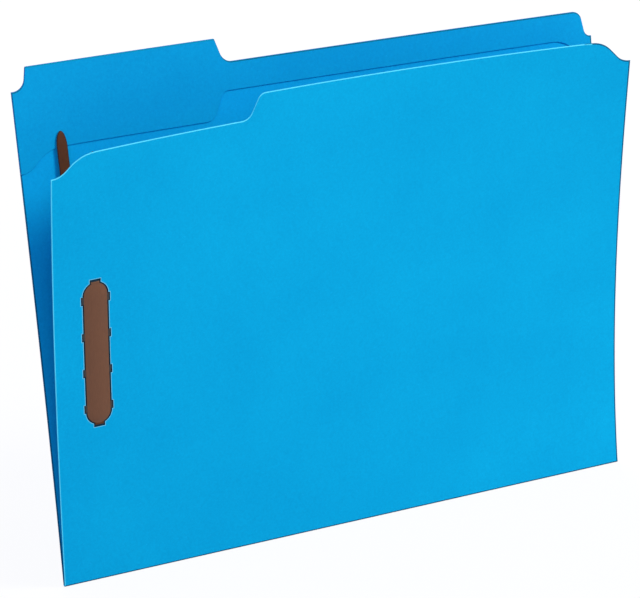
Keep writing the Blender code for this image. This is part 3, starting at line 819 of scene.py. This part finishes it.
def leaf_mesh(edge, pale):
    """A flat leaf with its bed. A pale one has its ring outside, pale and dark; the other inside, dark."""
    grid = leaf_grid(edge, PALE_RING if pale else DARK_RING)
    if pale:
        marks = (ring_marks(*grid, OUTSIDE, PALE, DARK), INSIDE, PALE, DARK)
    else:
        marks = (OUTSIDE, ring_marks(*grid, INSIDE, DARK, DARK), DARK, DARK)
    sheet = layered(*grid, -HALF_CARD, HALF_CARD, marks, True)
    pad = racetrack(PAD_HALF, 0, PAD_TOP, PAD_ROUND, (INSIDE, INSIDE))
    # The pocket's walls and floor take the dark pocket blue: painted shade.
    pocket = racetrack(POCKET_HALF, -HALF_CARD - REACH, EMBOSS - HALF_CARD, CRISP, (POCKET, POCKET))
    card = carved(sheet, [pad], "UNION")
    for tools in ([pocket], *bed_cuts()):
        card = carved(card, tools, "DIFFERENCE")
    return card


# %% Front and back leaf
front_card = finish_piece("front_leaf_card", leaf_mesh(front_edge, True), "front", leaf_looks)
back_card = finish_piece("back_leaf_card", leaf_mesh(back_edge, False), "back", leaf_looks)
for piece, body in ((front_card, "front"), (back_card, "back")):
    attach(piece, body)
    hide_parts(f"{body}_leaf")

# %% [markdown]
# ## Second ply
# The top of the back leaf is folded over and glued down, so its edge doesn't tear. Its lower edge shows as
# a thin shadow line that follows the front leaf's outline, and the ply's cut wall is a darker blue, painted
# shade that deepens that line. It is a sheet of the same card on a grid between its two edges. Its ring is
# dark, partly painted shade, and a little lighter along the tab than along the shelf.

# %% Ply
GLUE_LINE = 0.1 * MM
PLY_ROWS = 11
TAB_BAND = 1 * MM
# The marks of the ply's faces, in the order of its looks.
PLY_FACE, PLY_WALL, SHELF_RING, TAB_RING = range(4)
ply_stops = [ply_edge[:, 0], back_edge[:, 0], [DARK_RING - HALF_WIDTH, HALF_WIDTH - RIGHT_RING]]
ply_columns = fill(np.concatenate(ply_stops), COARSE)[:, None]
ply_low, ply_high = (np.interp(ply_columns, edge[:, 0], edge[:, 1]) for edge in (ply_edge, back_edge))
ply_v = np.hstack([ply_low + np.linspace(0, 1, PLY_ROWS) * (ply_high - DARK_RING - ply_low), ply_high])
ply_grid = (np.broadcast_to(ply_columns, ply_v.shape), ply_v)
ply_ring = np.where(ply_high[:-1, 0] > TAB_TOP - TAB_BAND, TAB_RING, SHELF_RING)
ply_marks = (PLY_FACE, ring_marks(*ply_grid, PLY_FACE, ply_ring, SHELF_RING), PLY_WALL, PLY_WALL)
ply_bottom = HALF_CARD + GLUE_LINE
ply_mesh = layered(*ply_grid, ply_bottom, ply_bottom + CARD, ply_marks)
ply = finish_piece("tab_ply_card", ply_mesh, "back", (card_ply, ply_cut_shade, shelf_edge_shade, tab_edge))
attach(ply, "back")
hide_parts("tab_reinforcement")

# %% [markdown]
# ## Creases
# On the real sheet the card runs on through the creases. Two stiff boxes would show a gap when a leaf
# opens, so each crease is a skin from the middle of the fold, round the bend and up to the leaf's foot. The
# bend is a curve with three guide points, offset by half a card to each side. The fold is coloured darker
# outside than inside, and both darker than the card: partly the pressed crease, partly painted shade.

# %% Crease skins
BEND_START = CREASE_OFFSET - 0.5 * MM
BEND_POINTS = 13
# The marks of a skin's faces, in the order of crease_looks.
FOLD_OUT, END_PALE, END_DARK, FOLD_IN = range(4)
crease_looks = (card_fold_shade, cut_edge_highlight, edge_shade, fold_inside_shade)


def crease_skin(leaf):
    """A skin whose middle is (1-t)² start + 2t(1-t) corner + t² foot, with half a card to each side of it.

    Its columns run to the right at the back and to the left at the front, so that the first layer is the
    folder's inside on both and the rim's normals point out of the sheet.
    """
    side = SIDE[leaf]
    x = side * fill([-HALF_WIDTH, HALF_WIDTH], COARSE)
    foot = on_leaf(leaf, np.stack([x, np.full_like(x, CREASE_GAP), np.zeros_like(x)], axis=-1))[:, None]
    places = [np.full_like(x, side * y) for y in (0, BEND_START, CREASE_OFFSET)]
    level = [np.stack([x, y, np.full_like(x, HALF_CARD)], axis=-1)[:, None] for y in places]
    t = np.linspace(0, 1, BEND_POINTS)[:, None]
    bend = (1 - t) ** 2 * level[1] + 2 * t * (1 - t) * level[2] + t**2 * foot
    middle = np.concatenate([level[0], bend], axis=1)
    slope = 2 * (1 - t) * (level[2] - level[1]) + 2 * t * (foot - level[2])
    slope = unit(np.concatenate([slope[:, :1], slope], axis=1))
    offset = HALF_CARD * np.cross(slope, (side, 0, 0))
    return closed_sheet(middle - offset, middle + offset, (FOLD_IN, FOLD_OUT, END_PALE, END_DARK))


for leaf_name in ("front", "back"):
    skin = finish_piece(f"{leaf_name}_crease_skin", crease_skin(leaf_name), None, crease_looks)
    start = Vector((0, SIDE[leaf_name] * BEND_START, HALF_CARD))
    Vector((0, SIDE[leaf_name] * CREASE_OFFSET, CARD + CREASE_GAP))
    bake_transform(skin)
    if leaf_name == "front":
        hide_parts("bottom_fold")

# %% [markdown]
# ## Fastener metal
# Each fastener is four kinds of stamped strip. The base plate lies in the pocket, and its teeth go through
# the slits, turn twice and are pressed down on the card. A prong leaves the plate's end, rises through the
# card and the bar and is bent outwards. The bar lies over the paper, and two sleeves, the keepers, slide on
# it to hold the prongs down. All of them are rectangles carried along bent paths, so every bend has a real
# radius and every edge catches light.

# %% Plate and teeth
PLATE_MIDDLE = METAL / 2 - HALF_CARD
PLATE_HALF, PLATE_ROUND = 5.85 * MM, 0.18 * MM
TOOTH_INSET, TOOTH_BEND, TOOTH_STEP = 1.2 * MM, 0.36 * MM, 0.3 * MM
TOOTH_MIDDLE = TOOTH_NEAR + METAL / 2
TOOTH_FOOT = TOOTH_FAR + 1.7 * MM
FOOT_HEIGHT = HALF_CARD + SEAT_GAP + METAL / 2
TAPER_LENGTH, TAPER = 0.5 * MM, 0.35 * MM
THIN_ROUND = 0.1 * MM
# Inside the plate a tooth or a root is this much thinner on each side, so that no two faces coincide.
SUNK = 0.05 * MM


def tooth(along, side):
    """A tooth's path across the leaf: out of the plate's edge, up through the slit and out over the card."""
    corners = [
        (TOOTH_NEAR - TOOTH_INSET, PLATE_MIDDLE, 0),
        (TOOTH_MIDDLE, PLATE_MIDDLE, TOOTH_BEND),
        (TOOTH_MIDDLE, FOOT_HEIGHT, TOOTH_BEND),
        (TOOTH_FOOT, FOOT_HEIGHT, 0),
    ]
    a, w = fill_path(rounded(corners), TOOTH_STEP).T
    half = TOOTH_LENGTH / 2 - np.interp(a, [TOOTH_FOOT - TAPER_LENGTH, TOOTH_FOOT], [0, TAPER])
    thick = np.where(a < PLATE_HALF, METAL / 2 - SUNK, METAL / 2)
    # Where a tooth runs through the card it takes the grey plate rim: painted shade in the notch.
    marks = (np.where(w > HALF_CARD, FLAT, EDGE)[1:], EDGE)
    return strip(at_fastener(side * a, along, w), (0, 1, 0), half, thick, THIN_ROUND, marks)


def plate_mesh():
    """The base plate with round ends and rolled edges, joined to its teeth."""
    plate = racetrack(PLATE_HALF, -HALF_CARD, METAL - HALF_CARD, PLATE_ROUND, (FLAT, EDGE))
    return carved(plate, [tooth(along, side) for along, side in teeth], "UNION")


print(f"plate {2 * PLATE_HALF / MM:.1f} mm wide and {2 * (POCKET_STRAIGHT + PLATE_HALF) / MM:.1f} mm long")

# %% Bar and keepers
KEEPER_WALL = 0.35 * MM
KEEPER_BOTTOM = PAD_TOP + SEAT_GAP
BAR_BOTTOM = KEEPER_BOTTOM + KEEPER_WALL + SEAT_GAP
BAR_TOP = BAR_BOTTOM + 0.5 * MM
KEEPER_TOP = BAR_TOP + SEAT_GAP + KEEPER_WALL
BAR_WIDTH, BAR_CORNER, BAR_ROUND = 9.5 * MM, 3.0 * MM, 0.14 * MM
BAR_LENGTH = PRONG_SPACING + 8.4 * MM
CORNER_TURN, SLOT_ROOM = 6, 0.55 * MM
KEEPER_LIP, KEEPER_BEND, KEEPER_STEP = 2.2 * MM, 0.4 * MM, 1.5 * MM
KEEPER_PLACE, KEEPER_HALF = 17.0 * MM, 4.0 * MM


def bar_mesh():
    """The bar over the paper: half width - corner + sqrt(corner² - past²), with a slot for each prong."""
    straight, free = BAR_LENGTH / 2 - BAR_CORNER, BAR_WIDTH / 2 - BAR_CORNER
    heights = (BAR_BOTTOM, BAR_TOP)
    bar = round_ended(straight, BAR_CORNER, CORNER_TURN, free, *heights, BAR_ROUND, (FLAT, EDGE))
    slot = PRONG_WIDTH / 2 + SEAT_GAP
    room = np.array([-SLOT_ROOM, SLOT_ROOM])
    cuts = [slit((-slot, slot), end * PRONG_SPACING / 2 + room, BAR_TOP + REACH, EDGE) for end in (-1, 1)]
    return carved(bar, cuts, "DIFFERENCE")


def keeper_mesh(end):
    """A sleeve round the bar: its path runs from one lip, round both sides and over the bar, to the other."""
    side = BAR_WIDTH / 2 + SEAT_GAP + KEEPER_WALL / 2
    low, high = KEEPER_BOTTOM + KEEPER_WALL / 2, KEEPER_TOP - KEEPER_WALL / 2
    lip = BAR_WIDTH / 2 + SEAT_GAP + KEEPER_WALL - KEEPER_LIP
    corners = [(lip, low, 0), (side, low, KEEPER_BEND), (side, high, KEEPER_BEND)]
    path = rounded(corners + [(-a, w, radius) for a, w, radius in corners[::-1]])
    a, w = fill_path(path, KEEPER_STEP).T
    path = at_fastener(a, end * KEEPER_PLACE, w)
    return strip(path, (0, 1, 0), KEEPER_HALF, KEEPER_WALL / 2, THIN_ROUND)


print(f"bar {BAR_LENGTH / MM:.1f} mm long, keepers {2 * KEEPER_HALF / MM:.1f} mm long")

# %% Prongs
PRONG_AXIS = BAR_TOP + 2 * SEAT_GAP + METAL / 2
PRONG_LENGTH, PRONG_STEP = 62.5 * MM, 0.5 * MM
BLADE_HALF, BLADE_START = 2.6 * MM, 1.0 * MM
TIP_LENGTH, TIP_LEAST = 7.5 * MM, 0.08
ROOT_INSET, ROOT_BEND, PRONG_BEND = 2.2 * MM, 0.45 * MM, 0.5 * MM
BULGE_TOP, LINE_START = 0.75 * MM, 1.45 * MM
ROOT_TOP, SHOWN_ROOT_TOP = 0.5 * MM, 0.1 * MM
PRONG_ROUND = (0.4 * MM, 0.17 * MM)
# The mark of the root that shows outside, after FLAT and EDGE.
ROOT = 2


def prong_mesh(end, tip_seat):
    """A prong's path: out of the plate's end, up through the card and the bar, and down to its seat outside.

    Its half width is that of an ellipse near the tip: half * sqrt(1 - past²), with past from 0 to 1.
    """
    root = PRONG_SPACING / 2
    bulge = root + TONGUES[end]
    corners = [
        (root - ROOT_INSET, PLATE_MIDDLE, 0),
        (bulge, PLATE_MIDDLE, ROOT_BEND),
        (bulge, BULGE_TOP, PRONG_BEND),
        (root, LINE_START, PRONG_BEND),
        (root, PRONG_AXIS, PRONG_BEND),
        (root + PRONG_LENGTH, tip_seat + SEAT_GAP + METAL / 2, 0),
    ]
    along, w = fill_path(rounded(corners), PRONG_STEP).T
    past = np.clip((along - root - PRONG_LENGTH + TIP_LENGTH) / TIP_LENGTH, 0, 1)
    half = np.interp(along, [root, root + BLADE_START], [PRONG_WIDTH / 2, BLADE_HALF])
    half = half * np.maximum(np.sqrt(1 - past**2), TIP_LEAST)
    in_plate = (w < ROOT_TOP) & (along < POCKET_STRAIGHT + PLATE_HALF)
    thick = np.where(in_plate, METAL / 2 - SUNK, METAL / 2)
    # Inside the slots a prong takes the dark edge lacquer: painted shade.
    in_slot = (w < BAR_BOTTOM) & (along < root + BLADE_START)
    marks = np.select([w < SHOWN_ROOT_TOP, in_slot], [ROOT if end > 0 else FLAT, EDGE], FLAT)[1:]
    return strip(at_fastener(0, end * along, w), (1, 0, 0), half, thick, PRONG_ROUND, (marks, EDGE))


print(f"prong blades {PRONG_LENGTH / MM:.1f} mm long and {2 * BLADE_HALF / MM:.1f} mm wide")

# %% Both fasteners
SEATS = {"front": HALF_CARD, "back": ply_bottom + CARD}
BEND_LENGTH = 1.2 * MM
# A prong's looks: a darker brown, partly painted shade; the dark edge lacquer; the plate's brown for its
# root.
prong_looks = (prong_lacquer_and_shade, strip_edge_and_shade, lacquer)
for leaf_name in ("front", "back"):
    plate = finish_piece(f"{leaf_name}_plate_metal", plate_mesh(), leaf_name, (lacquer, plate_edge_and_shade))
    bar = finish_piece(f"{leaf_name}_bar_metal", bar_mesh(), leaf_name, (lacquer, strip_edge_and_shade))
    for piece, node in ((plate, "base_plate"), (bar, "compressor")):
        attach(piece, leaf_name)
        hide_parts(f"{leaf_name}_{node}")
    for word, end, seat in (("upper", 1, SEATS[leaf_name]), ("lower", -1, HALF_CARD)):
        name = f"{leaf_name}_{word}"
        keeper = finish_piece(f"{name}_keeper_metal", keeper_mesh(end), leaf_name, (lacquer, strip_edge_and_shade))
        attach(keeper, f"{name}_keeper")
        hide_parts(f"{name}_keeper")
        prong = finish_piece(f"{name}_prong_metal", prong_mesh(end, seat), leaf_name, prong_looks)
        bend = FASTENER_HEIGHT + end * PRONG_SPACING / 2
        bend_ends = [[FASTENER_X, bend + end * step, PRONG_AXIS] for step in (0.0, BEND_LENGTH)]
        start, stop = on_leaf(leaf_name, bend_ends)
        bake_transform(prong)
        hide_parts(f"{name}_prong")

# %% [markdown]
# ## Floor and light
# The folder stands on a wide white floor. A floor lit like the object would render grey, so what the camera
# sees of it is mostly a plain white glow, mixed with a little lit white so that the folder's soft shadow
# stays. Light comes from a cool sky all round and from three warm soft lamps: a key lamp at the right, a
# weak fill at the left and one behind. Sky and lamps add up to nearly neutral light on the front leaf. The
# inside of the back leaf is in the front leaf's shade, gets mostly sky and so looks bluer.

# %% Floor
FLOOR_HALF, FLOOR_POINTS = 6.0, 13
FLOOR_TONE, SEEN_TONE = 0.55, 0.96
FLOOR_CLOUDS = 3.0
GLOW = 0.92
WHITE, BLACK = (1, 1, 1, 1), (0, 0, 0, 1)


def seen_directly(wire):
    """1 for rays from the camera, or by way of gloss or glass, and 0 for light that falls on the object."""
    kinds = ("Camera", "Glossy", "Transmission")
    path = [wire.node("ShaderNodeLightPath", out=f"Is {word} Ray") for word in kinds]
    return (path[0] + path[1] + path[2]).clamped()


def floor_finish():
    """White paper: a lit tone, and where it is seen directly, GLOW parts of plain white to 1 - GLOW lit."""
    finish, wire, place = new_finish("floor_white")
    grain = wire.noise(place, FLOOR_CLOUDS, 2.0) * 0.04 - 0.02
    seen = seen_directly(wire)
    tone = (FLOOR_TONE + (SEEN_TONE - FLOOR_TONE) * seen + grain).between(BLACK, WHITE)
    lit = wire.node("ShaderNodeBsdfDiffuse", {}, {"Color": tone})
    glow = wire.node("ShaderNodeEmission", {}, {"Color": WHITE, "Strength": 1.0})
    mixed = wire.node("ShaderNodeMixShader", {}, {0: seen * GLOW, 1: lit, 2: glow})
    wire.node("ShaderNodeOutputMaterial", {}, {"Surface": mixed})
    return finish


span = np.linspace(-FLOOR_HALF, FLOOR_HALF, FLOOR_POINTS)
floor_x, floor_y = np.meshgrid(span, span, indexing="ij")
floor_points = np.dstack([floor_x, floor_y, np.zeros_like(floor_x)]).reshape(-1, 3)
floor_faces = quads(np.arange(floor_x.size).reshape(floor_x.shape))
floor_mesh = bpy.data.meshes.new("floor")
floor_mesh.from_pydata(floor_points.tolist(), [], floor_faces.tolist())
floor_mesh.materials.append(floor_finish())
floor_obj = bpy.data.objects.new("floor", floor_mesh)
bpy.context.scene.collection.objects.link(floor_obj)
print("floor", 2 * FLOOR_HALF, "m wide")

# %% Sky
SKY = 0.46
SKY_TINT = (0.82, 0.98, 1.82, 1)
world = bpy.data.worlds.new("studio")
bpy.context.scene.world = world
world.use_nodes = True
world.node_tree.nodes.clear()
sky_wire = Wire(world.node_tree)
sky = sky_wire.node("ShaderNodeBackground", {}, {"Color": SKY_TINT, "Strength": SKY})
white = sky_wire.node("ShaderNodeBackground", {}, {"Color": WHITE, "Strength": 1.0})
seen = sky_wire.node("ShaderNodeMixShader", {}, {0: seen_directly(sky_wire), 1: sky, 2: white})
sky_wire.node("ShaderNodeOutputWorld", {}, {"Surface": seen})
print("sky of strength", SKY, "lights the object, and a white one is seen")

# %% Lamps
LAMP_TINT = (1.0, 0.95, 0.77)
MIDDLE = Vector((0, 0, 0.12))
# Azimuth round from the front to the right and elevation in degrees, distance and size in metres, share.
LAMPS = {
    "key": (50, 35.5, 2.2, 0.7, 0.86),
    "fill": (-24, 20, 2.6, 1.0, 0.12),
    "back_fill": (165, 20, 2.6, 1.2, 0.5),
}


def soft_lamp(name, azimuth, elevation, distance, size, share):
    """A square lamp that faces the folder's middle from a distance.

    It lights a facing surface by a share of what a white sky of strength 1 gives: share * pi² * distance²
    watts.
    """
    a, e = np.radians([azimuth, elevation])
    place = Vector((np.sin(a) * np.cos(e), -np.cos(a) * np.cos(e), np.sin(e))) * distance + MIDDLE
    lamp = bpy.data.lights.new(name, "AREA")
    lamp.size = size
    lamp.color = LAMP_TINT
    lamp.energy = share * np.pi**2 * distance**2
    obj = bpy.data.objects.new(name, lamp)
    obj.location = place
    obj.rotation_euler = (MIDDLE - place).to_track_quat("-Z", "Y").to_euler()
    bpy.context.scene.collection.objects.link(obj)
    print(name, round(lamp.energy, 1), "W at", [round(c, 2) for c in place])


for name, settings in LAMPS.items():
    soft_lamp(name, *settings)

# %% [markdown]
# ## Camera
# The camera was fitted to the folder's edges: it stands in front and to the left, a little above, and is
# tilted a few degrees. Its place is a target plus a distance along its own backward axis, and the tilt
# turns its right and up axes.

# %% Camera
AZIMUTH, ELEVATION, ROLL = np.radians([-24.472, 16.148, -3.411])
DISTANCE = 1226.03 * MM
TARGET = np.array([-10.791, 0.0, 114.269]) * MM
FOCAL_PIXELS, IMAGE_WIDTH, SENSOR = 2600.0, 640, 36.0
FAR_CLIP = 50

back_axis = np.array([
    np.sin(AZIMUTH) * np.cos(ELEVATION),
    -np.cos(AZIMUTH) * np.cos(ELEVATION),
    np.sin(ELEVATION),
])
level_axis = np.array([np.cos(AZIMUTH), np.sin(AZIMUTH), 0])
rise_axis = np.cross(back_axis, level_axis)
right_axis = np.cos(ROLL) * level_axis + np.sin(ROLL) * rise_axis
up_axis = np.cross(back_axis, right_axis)
pose = np.eye(4)
pose[:3, :3] = np.stack([right_axis, up_axis, back_axis], axis=1)
pose[:3, 3] = TARGET + DISTANCE * back_axis

camera = bpy.data.objects.new("camera", bpy.data.cameras.new("camera"))
camera.data.sensor_width = SENSOR
camera.data.lens = SENSOR * FOCAL_PIXELS / IMAGE_WIDTH
camera.data.clip_end = FAR_CLIP
camera.matrix_world = Matrix(pose.tolist())
bpy.context.scene.collection.objects.link(camera)
bpy.context.scene.camera = camera
bpy.context.scene.view_settings.view_transform = "Standard"
print(f"camera lens {camera.data.lens:.1f} mm at {np.round(pose[:3, 3], 3)}")
